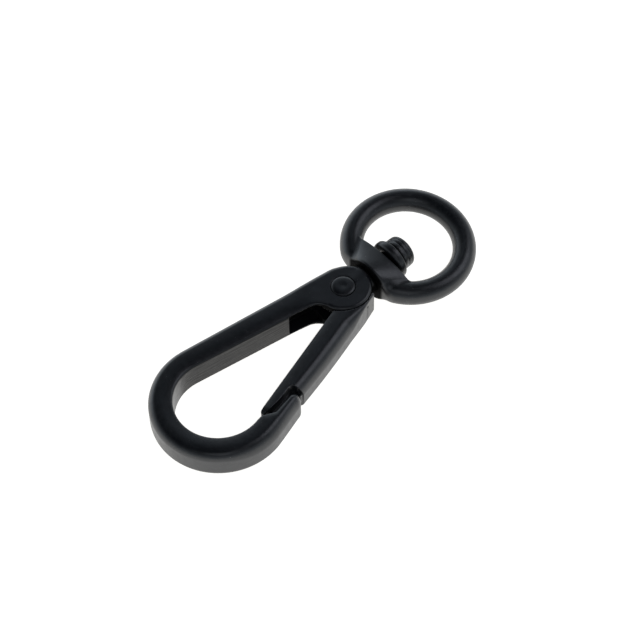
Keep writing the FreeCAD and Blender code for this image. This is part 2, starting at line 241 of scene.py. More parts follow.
def on_wall(before_pivot, inward):
    return WALL_FOOT - WALL_DIR * before_pivot - WALL_OUT * inward


def arc(a, middle, b, steps=ARC_STEPS):
    """Points on the circle through three points, from the first to just before the last."""
    chords = np.array([middle - a, b - a]) * 2
    squares = np.array([middle.dot(middle) - a.dot(a), b.dot(b) - a.dot(a)])
    centre = np.linalg.solve(chords, squares)
    angles = [math.atan2(*(p - centre)[::-1]) for p in (a, middle, b)]
    turn = (angles[2] - angles[0]) % math.tau
    if (angles[1] - angles[0]) % math.tau > turn:
        turn -= math.tau
    radius = np.linalg.norm(a - centre)
    sweep = angles[0] + turn * np.arange(steps) / steps
    return [centre + radius * np.array((math.cos(t), math.sin(t))) for t in sweep]


def smooth_run(points):
    """Natural cubic spline through points, chord-length spaced."""
    points = np.array(points)
    knots = np.concatenate([[0], np.cumsum(np.linalg.norm(np.diff(points, axis=0), axis=1))])
    h = np.diff(knots)
    n = len(points)
    matrix = np.zeros((n, n))
    right = np.zeros((n, 2))
    matrix[0, 0] = matrix[-1, -1] = 1
    for i in range(1, n - 1):
        matrix[i, i - 1:i + 2] = h[i - 1], 2 * (h[i - 1] + h[i]), h[i]
        right[i] = 6 * ((points[i + 1] - points[i]) / h[i] - (points[i] - points[i - 1]) / h[i - 1])
    bend = np.linalg.solve(matrix, right)
    run = []
    for t in np.linspace(0, knots[-1], RUN_STEPS):
        i = min(int(np.searchsorted(knots, t, "right")) - 1, n - 2)
        a, b = knots[i + 1] - t, t - knots[i]
        curve = (bend[i] * a ** 3 + bend[i + 1] * b ** 3) / (6 * h[i])
        run.append(curve + (points[i] / h[i] - bend[i] * h[i] / 6) * a
                   + (points[i + 1] / h[i] - bend[i + 1] * h[i] / 6) * b)
    return run


class Plan:
    """Signed distance to a closed outline, negative inside, kept on a grid and read between its points."""

    def __init__(self, outline, low, high):
        self.low = np.array(low, float)
        self.shape = np.ceil((np.array(high) - self.low) / PLAN_STEP).astype(int) + 1
        x = (self.low[0] + PLAN_STEP * np.arange(self.shape[0]))[:, None]
        y = (self.low[1] + PLAN_STEP * np.arange(self.shape[1]))[None, :]
        nearest = np.full(tuple(self.shape), np.inf)
        inside = np.zeros(tuple(self.shape), bool)
        for (ax, ay), (bx, by) in zip(outline, outline[1:] + outline[:1]):
            ex, ey = bx - ax, by - ay
            if ex * ex + ey * ey < TINY ** 2:
                continue
            px, py = x - ax, y - ay
            t = np.clip((px * ex + py * ey) / (ex * ex + ey * ey), 0, 1)
            nearest = np.minimum(nearest, (px - ex * t) ** 2 + (py - ey * t) ** 2)
            if ey != 0:
                inside ^= ((ay > y) != (by > y)) & (px < ex * py / ey)
        self.values = np.where(inside, -1, 1) * np.sqrt(nearest)

    def __call__(self, x, y):
        u = np.clip((x - self.low[0]) / PLAN_STEP, 0, self.shape[0] - LAST_CELL)
        v = np.clip((y - self.low[1]) / PLAN_STEP, 0, self.shape[1] - LAST_CELL)
        i, j = u.astype(int), v.astype(int)
        u, v = u - i, v - j
        d = self.values
        low_side = d[i, j] * (1 - u) + d[i + 1, j] * u
        high_side = d[i, j + 1] * (1 - u) + d[i + 1, j + 1] * u
        return low_side * (1 - v) + high_side * v


# ---- solids as signed distances ----------------------------------------------------------------

def both(a, b, r=SHARP_R):
    """Intersection with a rounded edge."""
    return np.minimum(-r, np.maximum(a, b)) + np.hypot(np.maximum(a + r, 0), np.maximum(b + r, 0))


def either(a, b, r):
    """Union with a filleted crease."""
    return np.maximum(r, np.minimum(a, b)) - np.hypot(np.maximum(r - a, 0), np.maximum(r - b, 0))


def share_between(value, ends):
    """0 at the first end, 1 at the second, and evenly in between."""
    return np.clip((value - ends[0]) / (ends[1] - ends[0]), 0, 1)


def slab(z, half_height):
    return np.abs(z) - half_height


def crowned(z, half_height, share, amount):
    """Two faces that are highest at one share of the bar's width and fall away to its edges."""
    return slab(z, half_height - amount * ((np.clip(share, 0, 1) - CROWN_AT) / (1 - CROWN_AT)) ** 2)


def disc(x, y, radius):
    """Disc about the pivot."""
    return np.hypot(x - PIVOT[0], y - PIVOT[1]) - radius


def half_plane(x, y, point, outward):
    return (x - point[0]) * outward[0] + (y - point[1]) * outward[1]


def pie(x, y, radius, angles):
    """Sector of a disc about the pivot, between two angles up to half a turn apart."""
    first = half_plane(x, y, PIVOT, -direction(angles[0] + 90))
    last = half_plane(x, y, PIVOT, direction(angles[1] + 90))
    return np.maximum(disc(x, y, radius), np.maximum(first, last))


def wall_box(x, y, z, start, end, depth, half_z):
    """Box sunk into the spine's inner wall."""
    along = -half_plane(x, y, WALL_FOOT, WALL_DIR)
    across = half_plane(x, y, WALL_FOOT, WALL_OUT)
    sides = both(start - along, along - end, POCKET_CORNER_R)
    return both(both(sides, across - depth, POCKET_CORNER_R), slab(z, half_z), POCKET_CORNER_R)


def rod(x, y, z, start, end, radius):
    axis = end - start
    t = (x - start[0]) * axis[0] + (y - start[1]) * axis[1] + (z - start[2]) * axis[2]
    t = np.clip(t / axis.dot(axis), 0, 1)
    gaps = [c - s - a * t for c, s, a in zip((x, y, z), start, axis)]
    return np.sqrt(gaps[0] ** 2 + gaps[1] ** 2 + gaps[2] ** 2) - radius


def hook_plans():
    """Outer outline of the casting, and the outline of its opening."""
    outer_top = OUTER_BOWL + SPINE_OUT * OUTER_BOWL_R
    outer_left = OUTER_BOWL + direction(180) * OUTER_BOWL_R
    outer_low = OUTER_BOWL + GATE_OUT * OUTER_BOWL_R
    spine_end = outer_top + SPINE_DIR * (PIVOT - outer_top).dot(SPINE_DIR)
    boss_far_r = (spine_end - PIVOT).dot(SPINE_OUT)
    boss_right = PIVOT + direction(0) * boss_far_r
    boss_low = PIVOT - SPINE_OUT * boss_far_r
    side = outer_low + GATE_DIR * (NOSE_SIDE_LENGTH - (outer_low - GATE_ORIGIN).dot(GATE_DIR))
    centre = side - GATE_OUT * NOSE_EDGE_R
    nose_angle = GATE_SLOPE - 90
    shoulder = centre + direction(nose_angle + NOSE_EDGE_ARC / 2) * NOSE_EDGE_R
    tip = centre + direction(nose_angle + NOSE_EDGE_ARC) * NOSE_EDGE_R
    outer = arc(boss_low, boss_right, spine_end) + [spine_end]
    outer += arc(outer_top, outer_left, outer_low, 4 * ARC_STEPS) + [outer_low]
    outer += arc(side, shoulder, tip) + [tip, on_gate(*ABOVE_NOSE), on_wall(*BEFORE_WALL)]

    reach = math.sqrt((BOSS_R + THROAT_R) ** 2 - (THROAT_R + (PIVOT - WALL_FOOT).dot(WALL_OUT)) ** 2)
    throat = on_wall(reach, THROAT_R)
    to_pivot = (PIVOT - throat) / np.linalg.norm(PIVOT - throat)
    halfway = (to_pivot + WALL_OUT) / np.linalg.norm(to_pivot + WALL_OUT)
    nose_inside = on_gate(*REBATE_OUTER)
    bowl_join = BOWL + direction(GATE_SLOPE - 90 - LIP_ANGLE) * BOWL_R
    bowl_left = BOWL + direction(180) * BOWL_R
    opening = arc(tip, on_gate(*NOSE_CORNER), nose_inside)
    opening += [nose_inside, on_gate(*REBATE_INNER), on_gate(*BOWL_LIP)]
    opening += arc(bowl_join, bowl_left, WALL_START, 4 * ARC_STEPS) + [WALL_START]
    opening += arc(on_wall(reach, 0), throat + halfway * THROAT_R, throat + to_pivot * THROAT_R)
    opening += [throat + to_pivot * THROAT_R, PIVOT, boss_low]
    opening += [boss_low - direction(90) * FAR, tip - direction(90) * FAR]
    return Plan(outer, *HOOK_GRID), Plan(opening, *HOOK_GRID)


OUTER_PLAN, OPENING_PLAN = hook_plans()


def hook_body(x, y, z):
    outer = OUTER_PLAN(x, y)
    opening = OPENING_PLAN(x, y)
    from_pivot = disc(x, y, 0)
    from_inside, from_outside = np.maximum(opening, 0), np.maximum(-outer, 0)
    share = from_inside / np.maximum(from_inside + from_outside, LEAST_BAR)
    grown = share_between(from_pivot, CROWN_FADE)
    face = crowned(z, HALF_T, share, CROWN * grown ** 2 * (3 - 2 * grown))
    towards_gate = half_plane(x, y, OUTER_BOWL, GATE_OUT) / OUTER_BOWL_R
    upper_edge_r = EDGE_R + (NEAR_EDGE_R - EDGE_R) * share_between(towards_gate, NEAR_SIDE)
    edge_r = np.where(z > 0, upper_edge_r, LOWER_EDGE_R)
    inner_r = np.where(z > 0, INNER_EDGE_R, SHARP_R)
    bar = np.maximum(both(outer, face, edge_r), both(-opening, face, inner_r))
    towards_spine = direction(BOSS_SOFT_ANGLE)
    cosine = half_plane(x, y, PIVOT, towards_spine) / np.maximum(from_pivot, 1)
    soft = share_between(cosine, BOSS_SOFT_SHARES)
    boss_r = BOSS_R - BOSS_FAR_STEP * soft
    cheeks = both(from_pivot - boss_r, slab(z, HALF_T), BOSS_EDGE_R + (EDGE_R - BOSS_EDGE_R) * soft)
    neck_ends = np.maximum(x - NECK_X, PIVOT[0] + STUD_R - x)
    neck = both(np.hypot(y, z) - NECK_R, neck_ends, NECK_EDGE_R)
    body = either(np.minimum(bar, cheeks), neck, NECK_BLEND_R)
    slot = np.maximum(disc(x, y, SLOT_R), slab(z, CHEEK_IN_Z))
    mouth = np.maximum(pie(x, y, 2 * BOSS_R, SLOT_ANGLES), slab(z, CHEEK_IN_Z))
    pocket = wall_box(x, y, z, POCKET_START, POCKET_END, POCKET_DEPTH, POCKET_HALF_Z)
    leg_room = wall_box(x, y, z, 0, POCKET_START + OVERCUT, POCKET_DEPTH, CHEEK_IN_Z)
    rooms = np.minimum(np.minimum(slot, mouth), np.minimum(pocket, leg_room))
    body = both(body, -rooms, FINE_R)
    bore = disc(x, y, RIVET_R)
    spot = np.maximum(disc(x, y, SPOT_FACE_R), HALF_T - SPOT_FACE_DEPTH - np.abs(z))
    stud_hole = np.maximum(np.hypot(y, z) - STUD_R, STUD_ROOT_X - x)
    return np.maximum(both(body, -spot, SPOT_EDGE_R), -np.minimum(bore, stud_hole))


def gate_plans():
    """The gate's rounded back, and the rest of its outline."""
    back_run = smooth_run([on_gate(*point) for point in BACK_PROFILE])
    before = back_run[0] + (back_run[0] - back_run[1]) * BACK_RUN_ON[0]
    after = back_run[-1] + (back_run[-1] - back_run[-2]) * BACK_RUN_ON[1]
    back = [before] + back_run + [after] + [on_gate(*point) for point in BACK_CLOSING]
    shoulder_in = on_gate(*SHOULDER_IN)
    shoulder_out = on_gate(*BACK_PROFILE[0])
    tongue_root = on_gate(*TONGUE_ROOT)
    tongue_out = on_gate(*TONGUE_OUT)
    tongue_in = on_gate(TIP_ALONG, GATE_STEP_IN)
    heel_along = (PIVOT - GATE_ORIGIN).dot(GATE_DIR)
    heel_cap = PIVOT + GATE_OUT * HEEL_ARC_R / 2
    rest = [tongue_in, on_gate(heel_along, GATE_STEP_IN), heel_cap]
    rest += [heel_cap + (back_run[-1] - heel_cap) * PAST_HEEL]
    rest += [shoulder_out + (shoulder_out - shoulder_in) * PAST_SHOULDER]
    rest += arc(shoulder_in, on_gate(*NOTCH_MIDDLE), tongue_root)
    rest += arc(tongue_root, on_gate(*TONGUE_MIDDLE), tongue_out)
    rest += arc(tongue_out, on_gate(*TIP_MIDDLE), tongue_in)
    return Plan(back, *GATE_GRID), Plan(rest, *GATE_GRID)


BACK_PLAN, REST_PLAN = gate_plans()


def rib_plan():
    """The rib in the gate's middle plane that meets the nose and fills the notch behind the nose's end."""
    gap = GATE_OUT * STOP_GAP
    corners = [on_gate(STOP_FIRST[0], STOP_ROOT_OUT), on_gate(*STOP_FIRST) - gap, on_gate(*STOP_LAST) - gap]
    corners += [on_gate(*corner) for corner in STOP_LIP]
    return Plan(corners, *RIB_GRID)


RIB_PLAN = rib_plan()


def leg_sweep(x, y, z):
    """Room inside the gate for the spring's leg, which the gate swings past when it opens."""
    leg_z = -COIL_PITCH * (COIL_TURNS + (180 - SPINE_INNER_SLOPE - GATE_SLOPE) / 360) / 2
    rods = []
    for swing in np.linspace(0, GATE_SWING, LEG_ROOM_STEPS):
        start = PIVOT + direction(GATE_SLOPE - 90 + swing) * COIL_R
        end = start - direction(GATE_SLOPE + swing) * GATE_LEG
        rods.append(rod(x, y, z, np.append(start, leg_z), np.append(end, leg_z), LEG_ROOM_R))
    return np.minimum.reduce(rods)


def gate(x, y, z):
    back = BACK_PLAN(x, y)
    share = (half_plane(x, y, GATE_ORIGIN, GATE_OUT) - GATE_STEP_IN) / GATE_WIDTH
    face = crowned(z, GATE_HALF_T, share, CROWN)
    bar_edge_r = np.where(z > 0, GATE_EDGE_R, LOWER_EDGE_R)
    towards_heel = share_between(half_plane(x, y, GATE_ORIGIN, GATE_DIR), HEEL_FADE)
    edge_r = bar_edge_r + (HEEL_EDGE_R - bar_edge_r) * towards_heel
    bar = np.maximum(both(back, face, edge_r), both(REST_PLAN(x, y), face, SHARP_R))
    at_tip = share_between(half_plane(x, y, PIVOT, GATE_OUT), HEEL_TIP_FADE)
    heel_arc_r = HEEL_ARC_R + (HEEL_TIP_ARC_R - HEEL_ARC_R) * at_tip
    bar = both(bar, -disc(x, y, heel_arc_r), HEEL_LIP_R)
    ears = both(disc(x, y, EAR_R), slab(z, EAR_OUT_Z), FINE_R)
    web = both(pie(x, y, WEB_R, WEB_ANGLES), slab(z, EAR_OUT_Z), FINE_R)
    rib = both(RIB_PLAN(x, y), slab(z, STOP_HALF_Z), FINE_R)
    solid = np.minimum(np.minimum(bar, rib), np.minimum(ears, web))
    coil_room = np.maximum(disc(x, y, COIL_ROOM_R), slab(z, EAR_IN_Z))
    leg_side = np.maximum(pie(x, y, EAR_R + OVERCUT, LEG_SIDE_ANGLES), slab(z, EAR_IN_Z))
    bore = disc(x, y, RIVET_R + RIVET_FIT)
    rooms = np.minimum(np.minimum(coil_room, leg_side), np.minimum(bore, leg_sweep(x, y, z)))
    return np.maximum(solid, -rooms)


def swivel_eye(x, y, z):
    turn = math.radians(EYE_TURN)
    y, z = y * math.cos(turn) + z * math.sin(turn), z * math.cos(turn) - y * math.sin(turn)
    ring = np.hypot(np.hypot(x, y) - EYE_RADIUS, z) - EYE_WIRE_R
    across = np.hypot(y, z)
    back_share = np.clip((x - HUB_FRONT_X) / (HUB_BACK_X - HUB_FRONT_X), *HUB_SHARES)
    half_width = HUB_FRONT_HALF_WIDTH + (HUB_BACK_HALF_WIDTH - HUB_FRONT_HALF_WIDTH) * back_share
    half_height = HUB_FRONT_HALF_HEIGHT + (HUB_BACK_HALF_HEIGHT - HUB_FRONT_HALF_HEIGHT) * back_share
    off = y - HUB_FRONT_SHIFT * (1 - back_share)
    oval = np.hypot(off / half_width, z / half_height)
    steepness = np.hypot(off / half_width ** 2, z / half_height ** 2) / np.maximum(oval, TINY)
    side = (oval - 1) / np.maximum(steepness, HUB_LEAST_SLOPE)
    hub = both(side, x - HUB_BACK_X, HUB_BACK_EDGE_R)
    eye = either(ring, hub, HUB_BLEND_R)
    eye = both(eye, HUB_FRONT_X - x, HUB_EDGE_R)
    bore = np.maximum(across - STUD_R - STUD_FIT, x - HUB_BACK_X - OVERCUT)
    return np.maximum(eye, -bore)


# ---- meshes ------------------------------------------------------------------------------------

def surface_net(field, low, high):
    """Points and quads of a signed distance's zero level, one point for each grid cell it crosses."""
    axes = [np.arange(lo - 2 * VOXEL, hi + 3 * VOXEL, VOXEL) for lo, hi in zip(low, high)]
    x, y, z = axes[0][:, None, None], axes[1][None, :, None], axes[2][None, None, :]
    shape = tuple(len(axis) for axis in axes)
    values = np.broadcast_to(field(x, y, z), shape)
    inside = values < 0

    def window(grid, offset):
        return grid[tuple(slice(o, n - 1 + o) for o, n in zip(offset, shape))]

    corners = [(i, j, k) for i in (0, 1) for j in (0, 1) for k in (0, 1)]
    count = sum(window(inside, corner).astype(np.int8) for corner in corners)
    cells = np.argwhere((count > 0) & (count < 8))
    index = np.full(count.shape, -1)
    index[tuple(cells.T)] = np.arange(len(cells))
    total = np.zeros((len(cells), 3))
    hits = np.zeros(len(cells))
    for axis in range(3):
        for corner in corners:
            if corner[axis]:
                continue
            step = np.eye(3, dtype=int)[axis]
            first = values[tuple((cells + corner).T)]
            last = values[tuple((cells + corner + step).T)]
            crossed = (first < 0) != (last < 0)
            share = np.where(crossed, first / np.where(crossed, first - last, 1), 0)
            place = cells + corner + share[:, None] * step
            total[crossed] += place[crossed]
            hits += crossed
    points = np.array([axis[0] for axis in axes]) + VOXEL * total / hits[:, None]
    quads = []
    for axis in range(3):
        u, v = (axis + 1) % 3, (axis + 2) % 3
        low_end = [slice(0, n - 1) if a == axis else slice(0, n) for a, n in enumerate(shape)]
        high_end = [slice(1, n) if a == axis else slice(0, n) for a, n in enumerate(shape)]
        starts_inside = inside[tuple(low_end)]
        changed = starts_inside != inside[tuple(high_end)]
        edges = np.argwhere(changed)
        flip = starts_inside[changed]
        round_edge = []
        for du, dv in ((-1, -1), (0, -1), (0, 0), (-1, 0)):
            cell = edges.copy()
            cell[:, u] += du
            cell[:, v] += dv
            round_edge.append(index[tuple(cell.T)])
        face = np.stack(round_edge, 1)
        face[~flip] = face[~flip][:, ::-1]
        quads.append(face)
    return settle(field, points), np.concatenate(quads)


def slope_at(field, points):
    slopes = []
    for axis in range(3):
        step = np.eye(3)[axis] * NORMAL_STEP
        ahead, behind = (points + step).T, (points - step).T
        slopes.append((field(*ahead) - field(*behind)) / (2 * NORMAL_STEP))
    return np.stack(slopes, 1)


def settle(field, points):
    """Moves the points onto the surface."""
    for _ in range(SETTLE_ROUNDS):
        slope = slope_at(field, points)
        steep = np.maximum((slope ** 2).sum(1), SETTLE_SLOPE)
        move = np.clip(field(*points.T) / steep, -SETTLE_REACH, SETTLE_REACH)
        points = points - slope * move[:, None]
    return points


def make_mesh(name, points, faces, normals=None):
    mesh = bpy.data.meshes.new(name)
    mesh.from_pydata((np.asarray(points) * MM).tolist(), [], [list(map(int, face)) for face in faces])
    mesh.validate()
    mesh.shade_smooth()
    if normals is not None:
        mesh.normals_split_custom_set_from_vertices(normals.tolist())
    piece = bpy.data.objects.new(name, mesh)
    bpy.context.scene.collection.objects.link(piece)
    return piece


def cast_piece(name, field, low, high):
    points, quads = surface_net(field, low, high)
    slope = slope_at(field, points)
    normals = slope / np.maximum(np.linalg.norm(slope, axis=1), TINY)[:, None]
    return make_mesh(name, points, quads, normals)


def rounded_profile(corners):
    """(along, radius) outline whose corners, given as (along, radius, rounding), are rounded."""
    points = []
    for i, (a, r, rounding) in enumerate(corners):
        here = np.array((a, r), float)
        if rounding == 0:
            points.append(here)
            continue
        back = np.array(corners[i - 1][:2]) - here
        ahead = np.array(corners[(i + 1) % len(corners)][:2]) - here
        back, ahead = back / np.linalg.norm(back), ahead / np.linalg.norm(ahead)
        half = math.acos(max(-1.0, min(1.0, back.dot(ahead)))) / 2
        reach = rounding / math.tan(half)
        middle = here + (back + ahead) / np.linalg.norm(back + ahead) * rounding * (1 / math.sin(half) - 1)
        points += arc(here + back * reach, middle, here + ahead * reach, CORNER_STEPS)
        points.append(here + ahead * reach)
    return points


def lathe(name, profile, place):
    """Piece turned from (along, radius) points; place(along, radius, angle) gives the point."""
    points, rings = [], []
    for along, radius in profile:
        if radius < TINY:
            rings.append([len(points)] * LATHE_SEGMENTS)
            points.append(place(along, 0, 0))
        else:
            rings.append(list(range(len(points), len(points) + LATHE_SEGMENTS)))
            points += [place(along, radius, math.tau * k / LATHE_SEGMENTS) for k in range(LATHE_SEGMENTS)]
    faces = []
    for ring, after in zip(rings, rings[1:] + rings[:1]):
        for k in range(LATHE_SEGMENTS):
            following = (k + 1) % LATHE_SEGMENTS
            face = list(dict.fromkeys([ring[k], ring[following], after[following], after[k]]))
            if len(face) > 2:
                faces.append(face)
    return make_mesh(name, points, faces)


def round_x(along, radius, angle):
    return (along, radius * math.cos(angle), radius * math.sin(angle))


def round_pivot(along, radius, angle):
    return (PIVOT[0] + radius * math.cos(angle), PIVOT[1] + radius * math.sin(angle), along)


# ---- coating materials -------------------------------------------------------------------------

class Tree:
    """Short names for building a material's nodes."""

    def __init__(self, name):
        self.material = bpy.data.materials.new(name)
        self.material.use_nodes = True
        self.nodes = self.material.node_tree.nodes
        self.links = self.material.node_tree.links
        self.nodes.clear()
        self.shader = self.nodes.new("ShaderNodeBsdfPrincipled")
        output = self.nodes.new("ShaderNodeOutputMaterial")
        self.links.new(self.shader.outputs["BSDF"], output.inputs["Surface"])

    def node(self, kind, **settings):
        made = self.nodes.new("ShaderNode" + kind)
        for key, value in settings.items():
            setattr(made, key, value)
        return made

    def feed(self, socket, value):
        if isinstance(value, bpy.types.NodeSocket):
            self.links.new(value, socket)
        else:
            socket.default_value = value

    def math(self, operation, a, b=0.0):
        made = self.node("Math", operation=operation)
        self.feed(made.inputs[0], a)
        self.feed(made.inputs[1], b)
        return made.outputs[0]

    def times(self, a, b):
        return self.math("MULTIPLY", a, b)

    def ramp(self, value, low, high, to_low=0.0, to_high=1.0):
        made = self.node("MapRange", interpolation_type="SMOOTHSTEP")
        for socket, v in zip(made.inputs, (value, low, high, to_low, to_high)):
            self.feed(socket, v)
        return made.outputs[0]

    def blend(self, share, a, b):
        made = self.node("Mix", data_type="RGBA")
        self.feed(made.inputs["Factor"], share)
        self.feed(made.inputs["A"], a)
        self.feed(made.inputs["B"], b)
        return made.outputs["Result"]

    def split(self, vector):
        made = self.node("SeparateXYZ")
        self.links.new(vector, made.inputs[0])
        return made.outputs

    def normal(self):
        """Object-space normal."""
        return self.node("TexCoord").outputs["Normal"]

    def place(self, turn=0.0, stretch=(1.0, 1.0, 1.0), shift=0.0):
        """Object coordinates in millimetres, turned about Z and then stretched."""
        source = self.node("TexCoord")
        turned = self.node("Mapping")
        turned.inputs["Location"].default_value = (shift, shift, shift)
        turned.inputs["Rotation"].default_value = (0, 0, math.radians(turn))
        turned.inputs["Scale"].default_value = (1 / MM, 1 / MM, 1 / MM)
        self.links.new(source.outputs["Object"], turned.inputs["Vector"])
        if stretch == (1.0, 1.0, 1.0):
            return turned.outputs[0]
        stretched = self.node("Mapping")
        stretched.inputs["Scale"].default_value = stretch
        self.links.new(turned.outputs[0], stretched.inputs["Vector"])
        return stretched.outputs[0]

    def noise(self, vector, size, detail=3.0, roughness=0.55):
        made = self.node("TexNoise")
        self.links.new(vector, made.inputs["Vector"])
        made.inputs["Scale"].default_value = 1 / size
        made.inputs["Detail"].default_value = detail
        made.inputs["Roughness"].default_value = roughness
        return made.outputs["Fac"]

    def bump(self, height, strength, distance):
        made = self.node("Bump")
        made.inputs["Strength"].default_value = strength
        made.inputs["Distance"].default_value = distance * MM
        self.feed(made.inputs["Height"], height)
        self.feed(self.shader.inputs["Normal"], made.outputs["Normal"])


# Colours, shine and roughness of the coats, and the sizes and heights of their marks in millimetres.
COAT_DARK = (0.0050, 0.0058, 0.0078, 1)
COAT_LIGHT = (0.0085, 0.0095, 0.0120, 1)
COAT_RUBBED = (0.055, 0.056, 0.058, 1)
# painted shade: colour for concave creases
CREVICE_SHADE_COLOUR = (0.004, 0.0045, 0.005, 1)
COAT_WALL = (0.013, 0.0125, 0.0115, 1)
FILED_LINES = (0.003, 0.003, 0.003, 1)
DUST = (0.24, 0.24, 0.23, 1)
# painted shade: near-black colour for the narrow gaps at the swivel and round the gate's pivot
GAP_SHADE_COLOUR = (0.002, 0.002, 0.002, 1)
STEEL = (0.16, 0.155, 0.15, 1)
OILED_STEEL = (0.07, 0.068, 0.066, 1)
COAT_IOR = 1.5
COAT_SHINE = 0.70
WALL_SHINE = 0.32
COAT_ROUGHNESS = (0.30, 0.37)
STEEL_ROUGHNESS = (0.3, 0.45)
MOTTLE_SIZE = 4.0
CLOUD_SIZE = 1.1
PEBBLE_SIZE = 0.16
PEBBLE_HEIGHT = 0.010
WAVE_SIZE = 1.6
WAVE_HEIGHT = 0.03
SPECK_SIZE = 0.3
LINE_SIZE = 0.3
LINE_STRETCH = 0.05
LINE_HEIGHT = 0.08
WIRE_LINE_SIZE = 0.25
WIRE_LINE_STRETCH = 6.0
WIRE_LINE_HEIGHT = 0.02
OIL_SIZE = 1.2
BUMP_STRENGTH = 0.8
WIRE_BUMP_STRENGTH = 0.5
EDGE_BREAK = 0.05  # how far the clouds shift where an edge counts as rubbed
# Readings between which a mark grows from nothing to its full share.
MOTTLED = (0.35, 0.65)
CLOUDED = (0.3, 0.7)
RUBBED = (0.53, 0.60)
IN_CREVICE_SHADE = (0.49, 0.44)
ON_SPECK = (0.72, 0.75)
ON_LINE = (0.48, 0.56)
FACING_WALL = (0.80, 0.97)
ALONG_WALL = (-62.0, -57.0)
INSIDE_WALL = (-6.0, -2.0)
NEAR_AXIS = (5.3, 4.3)
HUB_FACE = (HUB_FRONT_X + 0.4, HUB_FRONT_X + 0.1)
NECK_END = (NECK_X - 0.9, NECK_X - 0.35)
UPRIGHT = (0.6, 0.3)
GATE_SIDE = (3.0, 1.0)
ROUND_BOSS = (9.0, 7.6)
ON_WIRE = (0.3, 0.7)
OILED = (0.4, 0.6)
# How much a mark covers at most, and what it takes from or adds to the roughness.
RUBBED_SHARE = 0.55
CREVICE_SHADE_SHARE = 0.7
DUST_SHARE = 0.5
LINE_SHARE = 0.95
# how far the painted shade in the gaps cuts the shine
GAP_SHADE_SHINE_CUT = 0.95
RUBBED_POLISH = 0.07
WALL_DULLNESS = 0.04
# what the painted shade in the gaps adds to the roughness
GAP_SHADE_DULLNESS = 0.3


def coating(name, shift, grain=1.0, wall_marks=None, shade_mask=None):
    """Satin black coating: mottled, faintly pebbled, rubbed on its edges, with painted shade in its creases
    and specks of dust, and more painted shade where a shade mask is given.
    """
    t = Tree(name)
    here = t.place(shift=shift)
    mottle = t.noise(here, MOTTLE_SIZE)
    cloud = t.noise(here, CLOUD_SIZE)
    pebble = t.noise(here, PEBBLE_SIZE * grain, 2.0)
    waviness = t.noise(here, WAVE_SIZE, 1.0)
    specks = t.noise(here, SPECK_SIZE, 2.0, 0.5)
    edge = t.node("NewGeometry").outputs["Pointiness"]
    broken = t.math("ADD", edge, t.times(t.math("SUBTRACT", cloud, 0.5), EDGE_BREAK))
    rubbed = t.ramp(broken, *RUBBED)
    # painted shade: concave creases, read from pointiness, are darkened as if light did not reach them
    crevice_shade = t.ramp(edge, *IN_CREVICE_SHADE)
    dust = t.ramp(specks, *ON_SPECK)
    colour = t.blend(t.ramp(mottle, *MOTTLED), COAT_DARK, COAT_LIGHT)
    colour = t.blend(t.times(rubbed, RUBBED_SHARE), colour, COAT_RUBBED)
    colour = t.blend(t.times(crevice_shade, CREVICE_SHADE_SHARE), colour, CREVICE_SHADE_COLOUR)
    colour = t.blend(t.times(dust, DUST_SHARE), colour, DUST)
    rough = t.ramp(cloud, *CLOUDED, *COAT_ROUGHNESS)
    rough = t.math("SUBTRACT", rough, t.times(rubbed, RUBBED_POLISH))
    height = t.math("ADD", t.times(pebble, PEBBLE_HEIGHT * grain), t.times(waviness, WAVE_HEIGHT))
    shine = COAT_SHINE
    if wall_marks is not None:
        marks, share = wall_marks(t)
        shine = t.ramp(share, 0.0, 1.0, COAT_SHINE, WALL_SHINE)
        colour = t.blend(share, colour, COAT_WALL)
        line_share = t.times(share, t.ramp(marks, *ON_LINE))
        colour = t.blend(t.times(line_share, LINE_SHARE), colour, FILED_LINES)
        rough = t.math("ADD", rough, t.times(share, WALL_DULLNESS))
        height = t.math("ADD", height, t.times(t.times(share, marks), LINE_HEIGHT))
    # painted shade: where the mask says, the colour goes near black and the shine is cut, as if no light
    # reached there
    if shade_mask is not None:
        shaded = shade_mask(t)
        colour = t.blend(shaded, colour, GAP_SHADE_COLOUR)
        rough = t.math("ADD", rough, t.times(shaded, GAP_SHADE_DULLNESS))
        shine = t.times(t.math("SUBTRACT", 1.0, t.times(shaded, GAP_SHADE_SHINE_CUT)), shine)
    t.feed(t.shader.inputs["Specular IOR Level"], shine)
    t.feed(t.shader.inputs["Base Color"], colour)
    t.feed(t.shader.inputs["Roughness"], rough)
    t.bump(height, BUMP_STRENGTH, 1.0)
    t.shader.inputs["IOR"].default_value = COAT_IOR
    return t.material


def filed_wall(t):
    """Fine lines along the flat inner wall of the spine, and where they are."""
    along_lines = t.place(turn=SPINE_INNER_SLOPE, stretch=(LINE_STRETCH, 1.0, 1.0), shift=3.0)
    lines = t.noise(along_lines, LINE_SIZE, 1.0, 0.5)
    facing = t.node("VectorMath", operation="DOT_PRODUCT")
    t.links.new(t.normal(), facing.inputs[0])
    facing.inputs[1].default_value = (-WALL_OUT[0], -WALL_OUT[1], 0)
    share = t.ramp(facing.outputs["Value"], *FACING_WALL)
    place = t.split(t.place())
    along = t.ramp(place["X"], *ALONG_WALL)
    inside_opening = t.ramp(place["Y"], *INSIDE_WALL)
    return lines, t.times(share, t.times(along, inside_opening))


def hub_gap_shade(t):
    """Painted shade on the hub's front face, in the swivel joint's narrow gap."""
    place = t.split(t.place())
    near_axis = t.ramp(t.math("ABSOLUTE", place["Y"]), *NEAR_AXIS)
    return t.times(near_axis, t.ramp(place["X"], *HUB_FACE))


